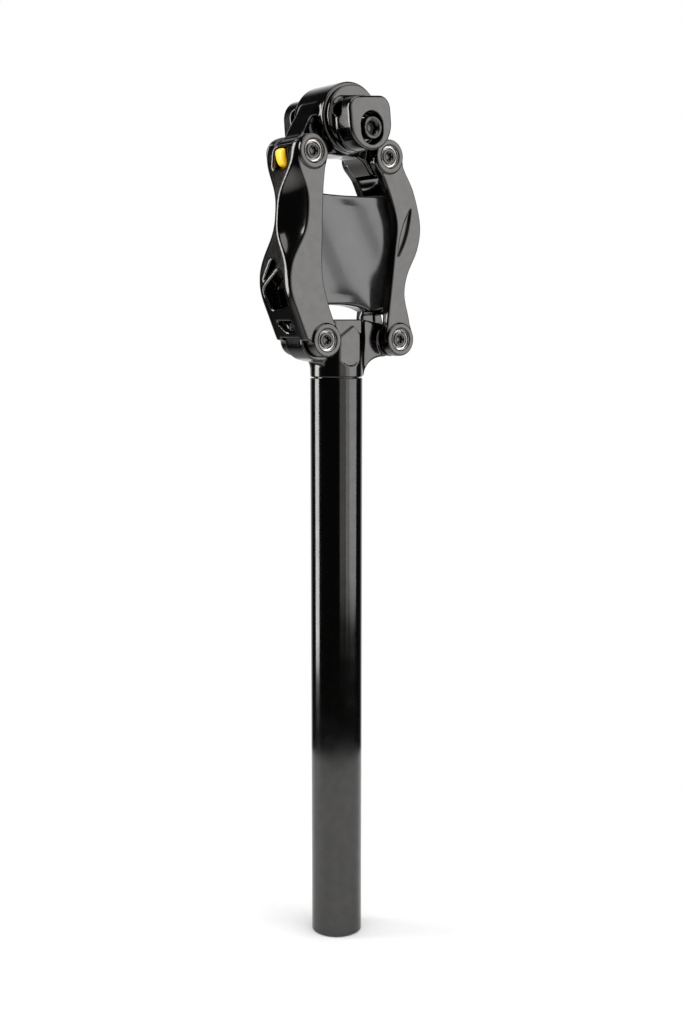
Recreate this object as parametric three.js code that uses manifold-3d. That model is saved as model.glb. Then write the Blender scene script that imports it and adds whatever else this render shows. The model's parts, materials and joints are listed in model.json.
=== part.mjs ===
// Suspension seatpost, in millimetres. +Z is up, along the post, +X points to the front of the bicycle
// and +Y to its left. The origin is the centre of the post's open bottom end.
import * as THREE from 'three';
import { mergeVertices } from 'three/addons/utils/BufferGeometryUtils.js';
import Module from 'manifold-3d';

const wasm = await Module();
wasm.setup();

// ---- driving dimensions ----
const TUBE_OUTER_R = 15.8;
const TUBE_WALL = 2.2;
const TUBE_LENGTH = 351.2;
const SPIGOT_LENGTH = 42;
const SPIGOT_WALL = 3;

const LINK_LENGTH = 107.2;
const LINK_DRAWN_LENGTH = 107.2;
const LINK_LEAN = THREE.MathUtils.degToRad(4.8);
const PIVOT_BASE = 54.2;
const LOWER_PIVOT_X = -18.9;
const LOWER_PIVOT_HEIGHT = 22.6;

const LINK_HALF_WIDTH = 16.5;
const BOSS_R = 9.8;
const BOSS_RISE = 1.5;
const EAR_R = 10;

const BARREL_HALF_LENGTH = 9;
const YOKE_REAR_BARREL_R = 12.2;
const YOKE_FRONT_BARREL_R = 10.2;
const HEAD_REAR_BARREL_R = 9;
const HEAD_FRONT_BARREL_R = 11.6;
const BARREL_RUN_GAP = 0.6;

const AXLE_R = 5;
const AXLE_BORE_R = 3.15;
const BUSHING_WALL = 1.4;
const BUSHING_LENGTH = 7.4;
const BUSHING_FLANGE = 0.7;
const BUSHING_FLANGE_R = 8.3;
const WASHER_R = 6.4;
const WASHER_HEIGHT = 2.2;
const WASHER_FLOOR = 0.8;
const AXLE_BOLT_R = 3;
const AXLE_BOLT_HEAD_R = 4.5;
const AXLE_BOLT_HEAD_HEIGHT = 0.8;
const AXLE_BOLT_LENGTH = 9;
const AXLE_SOCKET_R = 2.3;
const AXLE_SOCKET_DEPTH = 2.4;
const COUNTERBORE_DEPTH = 2.7;

const CLAMP_AXIS_X = 0;
const CLAMP_AXIS_RISE = 20.5;
const CLAMP_TILT = THREE.MathUtils.degToRad(5);
const CLAMP_BARREL_R = 20;
const CLAMP_BARREL_HALF_LENGTH = 15;
const CLAMP_BARREL_BORE_R = 15.2;
const RAIL_SPACING = 44;
const RAIL_RISE = 4;
const RAIL_CHANNEL_R = 3.3;
const RAIL_CHANNEL_STRAIGHT = 2;
const JAW_THICKNESS = 12.9;
const JAW_HALF_WIDTH = 14.7;
const JAW_DROP = 20;
const BOLT_JAW_TOP = 10;
const BOLT_JAW_CORNER = 5.5;
const NUT_JAW_TOP = 14.3;
const NUT_JAW_CORNER = 10.6;
const INNER_CLAMP_FLANGE_R = 18;
const INNER_CLAMP_FLANGE = 2.6;
const INNER_CLAMP_HUB_DEPTH = 9;
const BOLT_DROP = 7.7;
const BOLT_R = 4;
const BOLT_HEAD_R = 6.2;
const BOLT_HEAD_HEIGHT = 8;
const BOLT_SOCKET_R = 3.5;
const BOLT_SOCKET_DEPTH = 4.5;
const RECESS_R = 7.6;
const RECESS_STRETCH = 1.5;
const BOLT_WASHER = 1.5;
const NUT_R = 6.6;
const NUT_HEIGHT = 8;

const SEAT_GAP = 0.3;
const RUN_GAP = 0.15;

// ---- places worked out from them ----
const BIG_SIDES = 36;
const SMALL_SIDES = 18;
const LOWER_PIVOT_Z = TUBE_LENGTH + LOWER_PIVOT_HEIGHT;
const EAR_INNER_Y = BARREL_HALF_LENGTH + 2 * RUN_GAP + BUSHING_FLANGE;
const BOSS_FACE_Y = LINK_HALF_WIDTH + BOSS_RISE;
const COUNTERBORE_Y = BOSS_FACE_Y - COUNTERBORE_DEPTH;
const BUSHING_R = AXLE_R + RUN_GAP + BUSHING_WALL;
const UPPER_PIVOT_X = LOWER_PIVOT_X - LINK_LENGTH * Math.sin(LINK_LEAN);
const UPPER_PIVOT_Z = LOWER_PIVOT_Z + LINK_LENGTH * Math.cos(LINK_LEAN);
const CLAMP_AXIS_Z = UPPER_PIVOT_Z + CLAMP_AXIS_RISE;
const RAIL_Y = RAIL_SPACING / 2;
const JAW_OUTER_Y = RAIL_Y + JAW_THICKNESS;
const STRETCH = LINK_LENGTH / LINK_DRAWN_LENGTH;
const FAR = 200;

// ---- materials ----
function paint(color, roughness, metalness) {
  return new THREE.MeshStandardMaterial({ color, roughness, metalness });
}

const GLOSS_BLACK = paint(0x0c0c0d, 0.18, 0.7);
const SATIN_STEEL = paint(0xa9abad, 0.35, 1);
const DARK_STEEL = paint(0x2a2b2d, 0.4, 0.9);
const RUBBER = paint(0x2b2a2b, 0.6, 0);
const YELLOW = paint(0xffce1f, 0.5, 0);
const BEARING = paint(0x33322f, 0.7, 0);

// ---- solid helpers ----
function solid(geometry) {
  const bare = geometry.index ? geometry : geometry.clone();
  bare.deleteAttribute('normal');
  bare.deleteAttribute('uv');
  const merged = mergeVertices(bare, 1e-4);
  return new wasm.Manifold(new wasm.Mesh({
    numProp: 3,
    vertProperties: new Float32Array(merged.attributes.position.array),
    triVerts: new Uint32Array(merged.index.array),
  }));
}

function geometryOf(body) {
  const mesh = body.getMesh();
  const geometry = new THREE.BufferGeometry();
  geometry.setAttribute('position', new THREE.BufferAttribute(new Float32Array(mesh.vertProperties), 3));
  geometry.setIndex(new THREE.BufferAttribute(new Uint32Array(mesh.triVerts), 1));
  geometry.computeVertexNormals();
  return geometry;
}

function join(first, ...others) {
  return others.reduce((sum, other) => sum.add(other), first);
}

function cut(first, ...others) {
  return others.reduce((rest, other) => rest.subtract(other), first);
}

// A flat outline in x and z, pulled from y0 to y1.
function plate(shape, y0, y1, curveSegments = 6) {
  const geometry = new THREE.ExtrudeGeometry(shape, { depth: y1 - y0, bevelEnabled: false, curveSegments });
  geometry.rotateX(Math.PI / 2);
  geometry.translate(0, y1, 0);
  return solid(geometry);
}

// A round bar along y, centred at x and z.
function rod(x, z, radius, y0, y1, sides = SMALL_SIDES) {
  const geometry = new THREE.CylinderGeometry(radius, radius, y1 - y0, sides);
  geometry.translate(x, (y0 + y1) / 2, z);
  return solid(geometry);
}

// A round bar along z on the post's axis.
function column(radius, z0, z1, sides = BIG_SIDES) {
  const geometry = new THREE.CylinderGeometry(radius, radius, z1 - z0, sides);
  geometry.rotateX(Math.PI / 2);
  geometry.translate(0, 0, (z0 + z1) / 2);
  return solid(geometry);
}

function block(x0, x1, y0, y1, z0, z1) {
  const geometry = new THREE.BoxGeometry(x1 - x0, y1 - y0, z1 - z0);
  geometry.translate((x0 + x1) / 2, (y0 + y1) / 2, (z0 + z1) / 2);
  return solid(geometry);
}

// A ring about the y axis from a closed profile of [radius, distance out along y], for side -1 or +1.
function turned(profile, side, sides = SMALL_SIDES) {
  const points = profile.map(([radius, out]) => new THREE.Vector2(radius, side * out));
  if (side < 0) points.reverse();
  if (points[0].x > 0) points.push(points[0].clone());
  return solid(new THREE.LatheGeometry(points, sides));
}

function hexBar(radius, y0, y1) {
  return rod(0, 0, radius, y0, y1, 6);
}

function outline(points) {
  return new THREE.Shape(points.map(([x, z]) => new THREE.Vector2(x, z)));
}

// The low and high y of a stretch that runs outward on one side.
function outward(side, from, to) {
  return side < 0 ? [-to, -from] : [from, to];
}

function onArc(x, z, radius, degrees) {
  const angle = THREE.MathUtils.degToRad(degrees);
  return [x + radius * Math.cos(angle), z + radius * Math.sin(angle)];
}

function addMesh(parent, name, body, material) {
  const mesh = new THREE.Mesh(geometryOf(body), material);
  mesh.name = name;
  parent.add(mesh);
}

const seatpost = new THREE.Group();
const SIDES = [['right', -1], ['left', 1]];

// ---- post tube and lower yoke ----
function makeTube() {
  return cut(column(TUBE_OUTER_R, 0, TUBE_LENGTH), column(TUBE_OUTER_R - TUBE_WALL, -1, TUBE_LENGTH + 1));
}

const YOKE_TOP = LOWER_PIVOT_Z + 11.2;
const YOKE_HALF_WIDTH = 12.2;
const YOKE_FLAT_FRONT_X = 14;
const EAR_SWEEP = 1.8;
const ROOF_PEAK_X = 3;
const ROOF_PEAK_DROP = 4;
const ROOF_EAVE_DROP = 17;

// The neck's round sides end in a pointed roof, above which the yoke is flat-sided.
function yokeRoof() {
  return outline([
    [-TUBE_OUTER_R - 1, YOKE_TOP - ROOF_EAVE_DROP], [ROOF_PEAK_X, YOKE_TOP - ROOF_PEAK_DROP],
    [TUBE_OUTER_R + 1, YOKE_TOP - ROOF_EAVE_DROP], [TUBE_OUTER_R + 1, FAR * 3], [-TUBE_OUTER_R - 1, FAR * 3],
  ]);
}

function makeYoke() {
  const frontX = LOWER_PIVOT_X + PIVOT_BASE;
  const neckZ = TUBE_LENGTH + SEAT_GAP;
  const armUnderZ = LOWER_PIVOT_Z - YOKE_FRONT_BARREL_R;
  const barrelUnderZ = LOWER_PIVOT_Z - YOKE_REAR_BARREL_R;
  const arm = new THREE.Shape();
  arm.moveTo(LOWER_PIVOT_X, barrelUnderZ);
  arm.quadraticCurveTo(1.2 - TUBE_OUTER_R, barrelUnderZ - 0.2, 3.4 - TUBE_OUTER_R, neckZ + 5);
  arm.lineTo(TUBE_OUTER_R - 1, neckZ + 1);
  arm.quadraticCurveTo(TUBE_OUTER_R + 2, armUnderZ, frontX - 4, armUnderZ - 0.2);
  arm.lineTo(frontX, LOWER_PIVOT_Z);
  arm.lineTo(...onArc(frontX, LOWER_PIVOT_Z, YOKE_FRONT_BARREL_R, 118));
  arm.lineTo(YOKE_FLAT_FRONT_X, YOKE_TOP);
  arm.lineTo(LOWER_PIVOT_X + 8, YOKE_TOP);
  arm.lineTo(LOWER_PIVOT_X, LOWER_PIVOT_Z);
  const neck = cut(
    column(TUBE_OUTER_R, neckZ, YOKE_TOP),
    ...SIDES.map(([, side]) => plate(yokeRoof(), ...outward(side, YOKE_HALF_WIDTH, FAR))),
  );
  const body = join(
    neck,
    plate(arm, -BARREL_HALF_LENGTH, BARREL_HALF_LENGTH),
    rod(LOWER_PIVOT_X, LOWER_PIVOT_Z, YOKE_REAR_BARREL_R, -BARREL_HALF_LENGTH, BARREL_HALF_LENGTH, BIG_SIDES),
    rod(frontX, LOWER_PIVOT_Z, YOKE_FRONT_BARREL_R, -BARREL_HALF_LENGTH, BARREL_HALF_LENGTH, BIG_SIDES),
    column(TUBE_OUTER_R - TUBE_WALL - SEAT_GAP, neckZ - SPIGOT_LENGTH, neckZ + 1),
  );
  const earCuts = [];
  for (const [, side] of SIDES) {
    for (const x of [LOWER_PIVOT_X, frontX]) {
      const reach = EAR_R + EAR_SWEEP;
      earCuts.push(rod(x, LOWER_PIVOT_Z, reach, ...outward(side, BARREL_HALF_LENGTH, FAR), BIG_SIDES));
    }
  }
  const bores = [LOWER_PIVOT_X, frontX].map((x) => rod(x, LOWER_PIVOT_Z, BUSHING_R + RUN_GAP, -FAR, FAR));
  const linkSide = plate(linkOutline(REAR_BACK, REAR_FRONT), -FAR, FAR, 2)
    .rotate([0, -THREE.MathUtils.radToDeg(LINK_LEAN), 0])
    .translate(LOWER_PIVOT_X, 0, LOWER_PIVOT_Z);
  const linkRoom = SIDES.map(([, side]) => (
    block(-FAR, FAR, ...outward(side, EAR_INNER_Y, FAR), 0, FAR * 3).intersect(linkSide)
  ));
  const hollow = column(TUBE_OUTER_R - TUBE_WALL - SEAT_GAP - SPIGOT_WALL, 0, neckZ + 4);
  return cut(body, ...earCuts, ...linkRoom, ...bores, hollow);
}

addMesh(seatpost, 'post_tube', makeTube(), GLOSS_BLACK);

// ---- links, each in its own frame: z runs from the lower pivot to the upper one, x points forward ----
// Their outlines are drawn for LINK_DRAWN_LENGTH and stretched along z to LINK_LENGTH.
function stretched(points) {
  return points.map(([across, z]) => [across, z * STRETCH]);
}

function linkFrame(pivotX) {
  const frame = new THREE.Group();
  frame.position.set(pivotX, 0, LOWER_PIVOT_Z);
  frame.rotation.y = -LINK_LEAN;
  seatpost.add(frame);
  return frame;
}

// Where a point of a link's frame lies on the seatpost.
function fromLink(pivotX, [x, z]) {
  return [
    pivotX + x * Math.cos(LINK_LEAN) - z * Math.sin(LINK_LEAN),
    LOWER_PIVOT_Z + x * Math.sin(LINK_LEAN) + z * Math.cos(LINK_LEAN),
  ];
}

// The four ears' bosses, the axle bores and their counterbores.
function withPivots(body) {
  let link = body;
  for (const z of [0, LINK_LENGTH]) {
    for (const [, side] of SIDES) {
      link = link.add(rod(0, z, BOSS_R, ...outward(side, EAR_INNER_Y, BOSS_FACE_Y), BIG_SIDES));
      link = link.subtract(rod(0, z, WASHER_R + RUN_GAP, ...outward(side, COUNTERBORE_Y, FAR)));
    }
    link = link.subtract(rod(0, z, AXLE_R + RUN_GAP, -FAR, FAR));
  }
  return link;
}

// Rear link: its rear face is waisted, wide where it wraps the pivots and narrow at REAR_WAIST_Z.
const REAR_WAIST_Z = 74 * STRETCH;
const REAR_WAIST_SPAN = 22 * STRETCH;
const REAR_FACE_HALF = 14.6;
const REAR_WAIST_HALF = 1.8;
const REAR_FLANK_DEPTH = 10.2;
const REAR_FLANK_EDGE = 0.8;
const REAR_BACK = stretched([
  [-13.8, 1], [-18.7, 15.8], [-22.4, 28], [-22.8, 38], [-20.4, 56], [-17.6, 72], [-15.2, 88], [-12.9, 102],
  [-11.2, 113],
]);
const REAR_FRONT = stretched([
  [9.6, 105], [8.2, 98], [5.9, 85.6], [3.2, 63], [1.1, 38], [3.6, 21.7], [7, 10], [9.6, 1],
]);
const REAR_INNER_FACE = -8;
const REAR_WAIST_INNER_FACE = -5;
const REAR_STEP_LOW = 60 * STRETCH;
const REAR_STEP_HIGH = 68 * STRETCH;
const BLANK_OVERRUN = 20;
const CURVE_STEPS = 20;

function pinch(z) {
  return Math.exp(-(Math.abs((z - REAR_WAIST_Z) / REAR_WAIST_SPAN) ** 3));
}

function vectors(points) {
  return points.map(([x, z]) => new THREE.Vector2(x, z));
}

function linkOutline(back, front) {
  const shape = new THREE.Shape();
  shape.moveTo(...back[0]);
  shape.splineThru(vectors(back.slice(1)));
  shape.lineTo(0, LINK_LENGTH);
  shape.lineTo(...front[0]);
  shape.splineThru(vectors(front.slice(1)));
  shape.lineTo(0, 0);
  shape.closePath();
  return shape;
}

function ears() {
  return [0, LINK_LENGTH].map((z) => rod(0, z, EAR_R, -LINK_HALF_WIDTH, LINK_HALF_WIDTH, BIG_SIDES));
}

// A stack of six-sided sections along z, open at the front, whose rear corners are cut away by the flanks.
function waistedBlank(back, halfWidth, faceHalf, flankDepth) {
  const foot = [back[0][0], -BLANK_OVERRUN];
  const crown = [back.at(-1)[0], LINK_LENGTH + BLANK_OVERRUN];
  const rings = new THREE.SplineCurve(vectors([foot, ...back, crown])).getPoints(CURVE_STEPS);
  const positions = [];
  const index = [];
  rings.forEach((point) => {
    const half = faceHalf(point.y);
    const flank = point.x + flankDepth(point.y);
    const section = [
      [point.x, -half], [flank, -halfWidth], [FAR, -halfWidth],
      [FAR, halfWidth], [flank, halfWidth], [point.x, half],
    ];
    section.forEach(([x, y]) => positions.push(x, y, point.y));
  });
  const corners = 6;
  const last = (rings.length - 1) * corners;
  for (let ring = 0; ring < rings.length - 1; ring += 1) {
    for (let corner = 0; corner < corners; corner += 1) {
      const a = ring * corners + corner;
      const b = ring * corners + ((corner + 1) % corners);
      index.push(a, b, b + corners, a, b + corners, a + corners);
    }
  }
  for (let corner = 1; corner < corners - 1; corner += 1) {
    index.push(0, corner + 1, corner);
    index.push(last, last + corner, last + corner + 1);
  }
  const geometry = new THREE.BufferGeometry();
  geometry.setAttribute('position', new THREE.Float32BufferAttribute(positions, 3));
  geometry.setIndex(index);
  return solid(geometry);
}

// The rounded pockets let into the rear face, as corners in y and z.
const REAR_WEB_WALL = 4.5;
const REAR_POCKETS = [
  [[2.5, 49], [-3.5, 45.5], [11, 36]],
  [[-5, 42], [-9.4, 38.5], [-10.5, 21.5], [9, 18.5], [11.2, 31]],
  [[9, 12.5], [-8.5, 12.5], [-8, 6], [1.5, 5.5]],
].map(stretched);

function rearPocket(corners) {
  const shape = new THREE.Shape(corners.map(([y, z]) => new THREE.Vector2(y, z)));
  const geometry = new THREE.ExtrudeGeometry(shape, { depth: FAR, bevelEnabled: false });
  geometry.rotateX(Math.PI / 2);
  geometry.rotateZ(Math.PI / 2);
  geometry.translate(REAR_INNER_FACE - REAR_WEB_WALL - FAR, 0, 0);
  return solid(geometry);
}

const WINDOW_HALF_WIDTH = 6.8;
const WINDOW_BELOW = 8.5;
const WINDOW_ABOVE = 3.6;
const WEB_TOP_ABOVE = 5.4;
const REAR_WEB_FOOT = 2.5;

function makeRearLink() {
  const lowClear = YOKE_REAR_BARREL_R + BARREL_RUN_GAP;
  const highClear = HEAD_REAR_BARREL_R + BARREL_RUN_GAP;
  const blank = waistedBlank(
    REAR_BACK,
    LINK_HALF_WIDTH,
    (z) => REAR_FACE_HALF - (REAR_FACE_HALF - REAR_WAIST_HALF) * pinch(z),
    (z) => REAR_FLANK_EDGE + REAR_FLANK_DEPTH * pinch(z),
  );
  const body = join(plate(linkOutline(REAR_BACK, REAR_FRONT), -FAR, FAR, 2).intersect(blank), ...ears());
  const channel = outline([
    [REAR_INNER_FACE, 0], [REAR_INNER_FACE, REAR_STEP_LOW], [REAR_WAIST_INNER_FACE, REAR_STEP_HIGH],
    [REAR_WAIST_INNER_FACE, LINK_LENGTH], [0, LINK_LENGTH + WEB_TOP_ABOVE + 1],
    [FAR, LINK_LENGTH + WEB_TOP_ABOVE + 1], [FAR, 0],
  ]);
  const feet = block(-FAR, FAR, -EAR_INNER_Y, EAR_INNER_Y, -FAR, REAR_WEB_FOOT);
  const crown = block(-FAR, FAR, -EAR_INNER_Y, EAR_INNER_Y, LINK_LENGTH + WEB_TOP_ABOVE, FAR * 2);
  const window = block(
    -FAR, 0, -WINDOW_HALF_WIDTH, WINDOW_HALF_WIDTH, LINK_LENGTH - WINDOW_BELOW, LINK_LENGTH + WINDOW_ABOVE,
  );
  const barrelWall = rod(0, 0, lowClear + REAR_WEB_WALL / 2, -FAR, FAR, BIG_SIDES);
  return withPivots(cut(
    body,
    plate(channel, -EAR_INNER_Y, EAR_INNER_Y),
    feet,
    crown,
    window,
    rod(0, 0, lowClear, -EAR_INNER_Y, EAR_INNER_Y, BIG_SIDES),
    rod(0, LINK_LENGTH, highClear, -EAR_INNER_Y, EAR_INNER_Y, BIG_SIDES),
    ...REAR_POCKETS.map((corners) => rearPocket(corners).subtract(barrelWall)),
  ));
}

// Front link: side plates that bow forward, joined by a web along their front.
const FRONT_BACK = stretched([
  [-9.8, 1], [-7.6, 14], [-4.2, 30], [0.5, 53], [3.1, 67.8], [0.4, 82], [-5.4, 97.5], [-9.2, 104],
]);
const FRONT_FRONT = stretched([
  [9.6, 105], [12, 98.4], [17.8, 86], [21.4, 67], [18.2, 52.3], [9.6, 38], [6.4, 26], [8.6, 12], [9.8, 1],
]);
const FRONT_WEB = 5;
const FRONT_WEB_FOOT = 14.5;
const FRONT_WEB_TOP = 16;
const LEAF_DEPTH = 1.6;
const LEAF_TIPS = stretched([[2.5, 48.5], [14.6, 76.7]]);
const LEAF_BELLY = 3.2;

function leafCut(side) {
  const [[lowX, lowZ], [highX, highZ]] = LEAF_TIPS;
  const midX = (lowX + highX) / 2;
  const midZ = (lowZ + highZ) / 2;
  const shape = new THREE.Shape();
  shape.moveTo(lowX, lowZ);
  shape.quadraticCurveTo(midX + LEAF_BELLY, midZ - LEAF_BELLY, highX, highZ);
  shape.quadraticCurveTo(midX - LEAF_BELLY, midZ + LEAF_BELLY, lowX, lowZ);
  return plate(shape, ...outward(side, LINK_HALF_WIDTH - LEAF_DEPTH, FAR));
}

function makeFrontLink() {
  const side = plate(linkOutline(FRONT_BACK, FRONT_FRONT), -LINK_HALF_WIDTH, LINK_HALF_WIDTH, 2);
  const body = join(side, ...ears());
  const inner = FRONT_FRONT.slice(2, -2).map(([x, z]) => [x - FRONT_WEB, z]);
  const channel = new THREE.Shape();
  channel.moveTo(-FAR, LINK_LENGTH - FRONT_WEB_TOP);
  channel.lineTo(inner[0][0] - 1, LINK_LENGTH - FRONT_WEB_TOP);
  channel.splineThru(vectors(inner));
  channel.lineTo(1.4, FRONT_WEB_FOOT);
  channel.lineTo(-FAR, FRONT_WEB_FOOT);
  const feet = block(-FAR, FAR, -EAR_INNER_Y, EAR_INNER_Y, -FAR, FRONT_WEB_FOOT);
  const crown = block(-FAR, FAR, -EAR_INNER_Y, EAR_INNER_Y, LINK_LENGTH - FRONT_WEB_TOP, FAR * 2);
  return withPivots(cut(
    body,
    plate(channel, -EAR_INNER_Y, EAR_INNER_Y, 2),
    feet,
    crown,
    ...SIDES.map(([, side]) => leafCut(side)),
  ));
}

// The bumper is a curved pad in the rear link's window, just behind the head's rear barrel.
const BUMPER_THICKNESS = 3.4;

function makeBumper() {
  const innerR = HEAD_REAR_BARREL_R + SEAT_GAP;
  const mid = Math.PI + THREE.MathUtils.degToRad(12);
  const half = Math.asin((WINDOW_BELOW + WINDOW_ABOVE - 2 * SEAT_GAP) / 2 / (innerR + BUMPER_THICKNESS));
  const pad = new THREE.Shape();
  pad.absarc(0, LINK_LENGTH, innerR + BUMPER_THICKNESS, mid - half, mid + half, false);
  pad.absarc(0, LINK_LENGTH, innerR, mid + half, mid - half, true);
  pad.closePath();
  const slot = block(
    -FAR, 0,
    SEAT_GAP - WINDOW_HALF_WIDTH, WINDOW_HALF_WIDTH - SEAT_GAP,
    LINK_LENGTH - WINDOW_BELOW + SEAT_GAP, LINK_LENGTH + WINDOW_ABOVE - SEAT_GAP,
  );
  return plate(pad, -WINDOW_HALF_WIDTH, WINDOW_HALF_WIDTH).intersect(slot);
}

// ---- pivot hardware, built about the y axis and placed at each pivot ----
function makeAxle() {
  const end = COUNTERBORE_Y - RUN_GAP;
  return cut(rod(0, 0, AXLE_R, -end, end), rod(0, 0, AXLE_BORE_R, -FAR, FAR));
}

function makeBushing(side) {
  const bore = AXLE_R + RUN_GAP;
  const flange = BARREL_HALF_LENGTH + RUN_GAP;
  return turned([
    [bore, BARREL_HALF_LENGTH - BUSHING_LENGTH], [BUSHING_R, BARREL_HALF_LENGTH - BUSHING_LENGTH],
    [BUSHING_R, flange], [BUSHING_FLANGE_R, flange], [BUSHING_FLANGE_R, flange + BUSHING_FLANGE],
    [bore, flange + BUSHING_FLANGE],
  ], side);
}

function makeAxleWasher(side) {
  const floor = COUNTERBORE_Y + RUN_GAP;
  const cup = floor + WASHER_FLOOR;
  const rim = floor + WASHER_HEIGHT;
  return turned([
    [AXLE_BORE_R, floor], [WASHER_R, floor], [WASHER_R, rim], [WASHER_R - 0.6, rim],
    [AXLE_BOLT_HEAD_R + RUN_GAP, rim - 0.4], [AXLE_BOLT_HEAD_R + RUN_GAP, cup], [AXLE_BORE_R, cup],
  ], side);
}

function makeAxleBolt(side) {
  const seat = COUNTERBORE_Y + RUN_GAP + WASHER_FLOOR + RUN_GAP;
  const top = seat + AXLE_BOLT_HEAD_HEIGHT;
  const body = turned([
    [0, seat - AXLE_BOLT_LENGTH], [AXLE_BOLT_R, seat - AXLE_BOLT_LENGTH], [AXLE_BOLT_R, seat],
    [AXLE_BOLT_HEAD_R, seat], [AXLE_BOLT_HEAD_R, top], [0, top],
  ], side);
  return cut(body, hexBar(AXLE_SOCKET_R, ...outward(side, top - AXLE_SOCKET_DEPTH, FAR)));
}

const bushings = { lower: seatpost, upper: new THREE.Group() };

function fitPivot(frame, z, level, end, pivotX, pivotZ) {
  const place = (parent, x, height, name, body, material) => {
    const spot = new THREE.Group();
    spot.position.set(x, 0, height);
    parent.add(spot);
    addMesh(spot, name, body, material);
  };
  place(frame, 0, z, `${level}_${end}_axle`, makeAxle(), DARK_STEEL);
  for (const [hand, side] of SIDES) {
    place(frame, 0, z, `${level}_${end}_axle_washer_${hand}`, makeAxleWasher(side), SATIN_STEEL);
    place(frame, 0, z, `${level}_${end}_axle_bolt_${hand}`, makeAxleBolt(side), DARK_STEEL);
    place(bushings[level], pivotX, pivotZ, `${level}_${end}_bushing_${hand}`, makeBushing(side), BEARING);
  }
}

const LINKS = [
  ['rear', LOWER_PIVOT_X, makeRearLink],
  ['front', LOWER_PIVOT_X + PIVOT_BASE, makeFrontLink],
];
for (const [end, pivotX, make] of LINKS) {
  const frame = linkFrame(pivotX);
  addMesh(frame, `${end}_link`, make(), GLOSS_BLACK);
  fitPivot(frame, 0, 'lower', end, pivotX, LOWER_PIVOT_Z);
  fitPivot(frame, LINK_LENGTH, 'upper', end, pivotX + UPPER_PIVOT_X - LOWER_PIVOT_X, UPPER_PIVOT_Z);
  if (end === 'rear') addMesh(frame, 'top_out_bumper', makeBumper(), YELLOW);
}
seatpost.add(bushings.upper);
addMesh(seatpost, 'lower_yoke', makeYoke(), GLOSS_BLACK);

// ---- elastomer: fills the channels of both links from the lower rear to the upper front ----
const ELASTOMER_HALF_WIDTH = EAR_INNER_Y - SEAT_GAP;
const ELASTOMER_TOP = 86.5 * STRETCH;
const ELASTOMER_FOOT = 21 * STRETCH;
const ELASTOMER_LIP_X = 19.5;
const ELASTOMER_LIP = 16.6 * STRETCH;
const ELASTOMER_WEB_GAP = 1.2;
const ELASTOMER_FRONT = stretched([
  [16.9, 85.5], [19.8, 76], [20.9, 67], [17.2, 52.3], [8.6, 38], [5.4, 26], [5.4, 19],
]);

function makeElastomer() {
  const frontX = LOWER_PIVOT_X + PIVOT_BASE;
  const rearLow = fromLink(LOWER_PIVOT_X, [REAR_INNER_FACE + SEAT_GAP, ELASTOMER_FOOT - 1]);
  const rearMid = fromLink(LOWER_PIVOT_X, [REAR_INNER_FACE + SEAT_GAP, REAR_STEP_LOW - 1]);
  const rearWaist = fromLink(LOWER_PIVOT_X, [REAR_WAIST_INNER_FACE + SEAT_GAP, REAR_STEP_HIGH]);
  const rearHigh = fromLink(LOWER_PIVOT_X, [REAR_WAIST_INNER_FACE + SEAT_GAP, ELASTOMER_TOP]);
  const webs = ELASTOMER_FRONT.map(([x, z]) => fromLink(frontX, [x - FRONT_WEB - ELASTOMER_WEB_GAP, z]));
  const shape = new THREE.Shape();
  shape.moveTo(...rearHigh);
  shape.quadraticCurveTo(2, rearHigh[1] - 4, ...webs[0]);
  shape.splineThru(vectors(webs.slice(1, -1)));
  shape.lineTo(...webs.at(-1));
  shape.lineTo(ELASTOMER_LIP_X, LOWER_PIVOT_Z + ELASTOMER_LIP);
  shape.quadraticCurveTo(8, LOWER_PIVOT_Z + ELASTOMER_FOOT + 2, ...rearLow);
  shape.lineTo(...rearMid);
  shape.lineTo(...rearWaist);
  shape.closePath();
  return plate(shape, -ELASTOMER_HALF_WIDTH, ELASTOMER_HALF_WIDTH, 4);
}

addMesh(seatpost, 'elastomer', makeElastomer(), RUBBER);

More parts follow.
